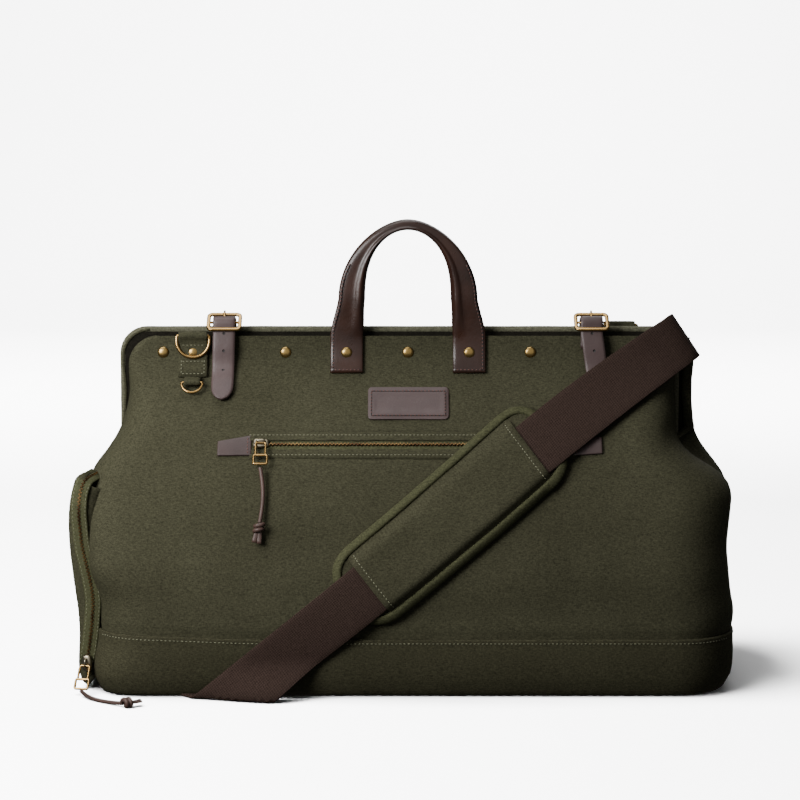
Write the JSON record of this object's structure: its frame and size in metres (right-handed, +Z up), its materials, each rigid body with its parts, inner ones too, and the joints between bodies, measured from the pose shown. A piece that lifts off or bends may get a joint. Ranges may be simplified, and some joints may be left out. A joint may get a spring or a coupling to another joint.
{
  "type": "doctor bag",
  "caption": "Soft canvas doctor bag with a hinged steel mouth frame, leather handles, buckled closing straps and a padded shoulder strap.",
  "frame": {"origin": "middle of the base, on the surface the bag stands on", "axes": "+Z up, +X to the right as seen from the front, the front faces -Y"},
  "size_m": [0.5555, 0.3345, 0.389],
  "materials": {
    "board": "stiffener board",
    "canvas": "dark olive waxed canvas",
    "dark_leather": "dark brown oiled leather",
    "frame_steel": "plated steel",
    "lining": "plain woven lining",
    "ring_brass": "polished brass",
    "rivet_brass": "antique brass",
    "slider_metal": "plated zinc",
    "smooth_leather": "smooth mauve-brown leather",
    "webbing": "dark brown cotton webbing",
    "zip_metal": "antique brass teeth",
    "zip_tape": "woven zip tape"
  },
  "bodies": {
    "root": {"back_panel_fold": "canvas", "back_panel_lower": "canvas", "base_band": "canvas", "base_board": "board", "base_panel": "canvas", "chapes": "dark_leather", "end_pocket_flap": "canvas", "end_zip_chain": "zip_metal", "end_zip_tape": "zip_tape", "front_facing": "canvas", "front_frame": "frame_steel", "front_handle_feet": "dark_leather", "front_panel": "canvas", "front_pocket_pouch": "lining", "front_ring_tab": "canvas", "front_rivets": "rivet_brass", "front_zip_chain": "zip_metal", "front_zip_tape": "zip_tape", "gussets": "canvas", "label_patch": "smooth_leather", "left_end_panel": "canvas", "lining": "lining", "lower_hook": "ring_brass", "pivot_rivets": "rivet_brass", "right_end_panel": "canvas", "strap_end": "webbing", "strap_front": "webbing", "strap_turn": "webbing", "zip_tabs": "smooth_leather"},
    "back_frame": {"back_frame": "frame_steel", "back_facing": "canvas", "back_panel_upper": "canvas", "back_rivets": "rivet_brass", "back_handle_feet": "dark_leather", "back_ring_tab": "canvas"},
    "front_handle": {"front_handle_grip": "dark_leather"},
    "back_handle": {"back_handle_grip": "dark_leather"},
    "front_ring_large": {"front_ring_large": "ring_brass"},
    "front_ring_small": {"front_ring_small": "ring_brass"},
    "back_ring_large": {"back_ring_large": "ring_brass", "upper_hook": "ring_brass"},
    "back_ring_small": {"back_ring_small": "ring_brass"},
    "upper_gate": {"upper_hook_gate": "ring_brass"},
    "lower_gate": {"lower_hook_gate": "ring_brass"},
    "left_buckle": {"left_buckle": "ring_brass"},
    "left_prong": {"left_prong": "ring_brass"},
    "left_billet": {"left_billet": "smooth_leather"},
    "right_buckle": {"right_buckle": "ring_brass"},
    "right_prong": {"right_prong": "ring_brass"},
    "right_billet": {"right_billet": "smooth_leather"},
    "front_slider": {"front_zip_slider": "slider_metal"},
    "front_pull": {"front_zip_pull": "ring_brass", "front_pull_lace": "dark_leather", "front_pull_knot": "dark_leather"},
    "end_slider": {"end_zip_slider": "slider_metal"},
    "end_pull": {"end_zip_pull": "ring_brass", "end_pull_lace": "dark_leather", "end_pull_knot": "dark_leather"},
    "shoulder_pad": {"shoulder_pad": "canvas"}
  },
  "joints": [
    {"name": "mouth_open", "type": "hinge", "parent": "root", "child": "back_frame", "pos_m": [0, 0, 0.195], "axis": [-1, 0, 0], "range_deg": [0, 70], "deforming": ["back_panel_fold", "gussets", "strap_turn"]},
    {"name": "front_handle_fold", "type": "hinge", "parent": "root", "child": "front_handle", "pos_m": [0, -0.0103, 0.292], "axis": [1, 0, 0], "range_deg": [0, 105]},
    {"name": "back_handle_fold", "type": "hinge", "parent": "back_frame", "child": "back_handle", "pos_m": [0, 0.0103, 0.292], "axis": [-1, 0, 0], "range_deg": [0, 100]},
    {"name": "front_ring_large_swing", "type": "hinge", "parent": "root", "child": "front_ring_large", "pos_m": [-0.1838, -0.013, 0.291], "axis": [-1, 0, 0], "range_deg": [0, 100]},
    {"name": "front_ring_small_swing", "type": "hinge", "parent": "root", "child": "front_ring_small", "pos_m": [-0.1838, -0.0285, 0.2526], "axis": [-1, 0, 0], "range_deg": [0, 110]},
    {"name": "back_ring_large_swing", "type": "hinge", "parent": "back_frame", "child": "back_ring_large", "pos_m": [0.1838, 0.013, 0.298], "axis": [1, 0, 0], "range_deg": [0, 7]},
    {"name": "back_ring_small_swing", "type": "hinge", "parent": "back_frame", "child": "back_ring_small", "pos_m": [0.1838, 0.0285, 0.2526], "axis": [1, 0, 0], "range_deg": [0, 38]},
    {"name": "upper_gate_press", "type": "hinge", "parent": "back_ring_large", "child": "upper_gate", "pos_m": [0.1838, 0.0276, 0.2697], "axis": [-1, 0, 0], "range_deg": [0, 20], "stiffness_Nm_per_rad": 0.05},
    {"name": "lower_gate_press", "type": "hinge", "parent": "root", "child": "lower_gate", "pos_m": [-0.0168, 0.1473, 0.0045], "axis": [0, 0, 1], "range_deg": [0, 20], "stiffness_Nm_per_rad": 0.05},
    {"name": "left_buckle_tilt", "type": "hinge", "parent": "root", "child": "left_buckle", "pos_m": [-0.1572, -0.009, 0.302], "axis": [1, 0, 0], "range_deg": [-6, 4]},
    {"name": "left_prong_lift", "type": "hinge", "parent": "left_buckle", "child": "left_prong", "pos_m": [-0.1572, -0.009, 0.302], "axis": [1, 0, 0], "range_deg": [0, 75]},
    {"name": "left_billet_lift", "type": "hinge", "parent": "back_frame", "child": "left_billet", "pos_m": [-0.1572, 0.0098, 0.2975], "axis": [-1, 0, 0], "range_deg": [0, 95], "deforming": ["left_billet"]},
    {"name": "right_buckle_tilt", "type": "hinge", "parent": "root", "child": "right_buckle", "pos_m": [0.1572, -0.009, 0.302], "axis": [1, 0, 0], "range_deg": [-6, 4]},
    {"name": "right_prong_lift", "type": "hinge", "parent": "right_buckle", "child": "right_prong", "pos_m": [0.1572, -0.009, 0.302], "axis": [1, 0, 0], "range_deg": [0, 75]},
    {"name": "right_billet_lift", "type": "hinge", "parent": "back_frame", "child": "right_billet", "pos_m": [0.1572, 0.0098, 0.2975], "axis": [-1, 0, 0], "range_deg": [0, 95], "deforming": ["right_billet"]},
    {"name": "front_zip_slide", "type": "slide", "parent": "root", "child": "front_slider", "axis": [1, 0, 0], "range_m": [0, 0.1]},
    {"name": "front_pull_lift", "type": "hinge", "parent": "front_slider", "child": "front_pull", "pos_m": [-0.1235, -0.06789, 0.20632], "axis": [-1, 0, 0], "range_deg": [0, 70]},
    {"name": "end_zip_slide", "type": "slide", "parent": "root", "child": "end_slider", "axis": [-0.06, 0, 0.9982], "range_m": [0, 0.145]},
    {"name": "end_pull_lift", "type": "hinge", "parent": "end_slider", "child": "end_pull", "pos_m": [-0.26962, -0.09809, 0.0225], "axis": [-0.9798, 0.2, 0], "range_deg": [0, 60]},
    {"name": "pad_slide", "type": "slide", "parent": "root", "child": "shoulder_pad", "axis": [0.7449, 0.3, 0.5959], "range_m": [-0.03, 0.03], "deforming": ["shoulder_pad"]}
  ]
}
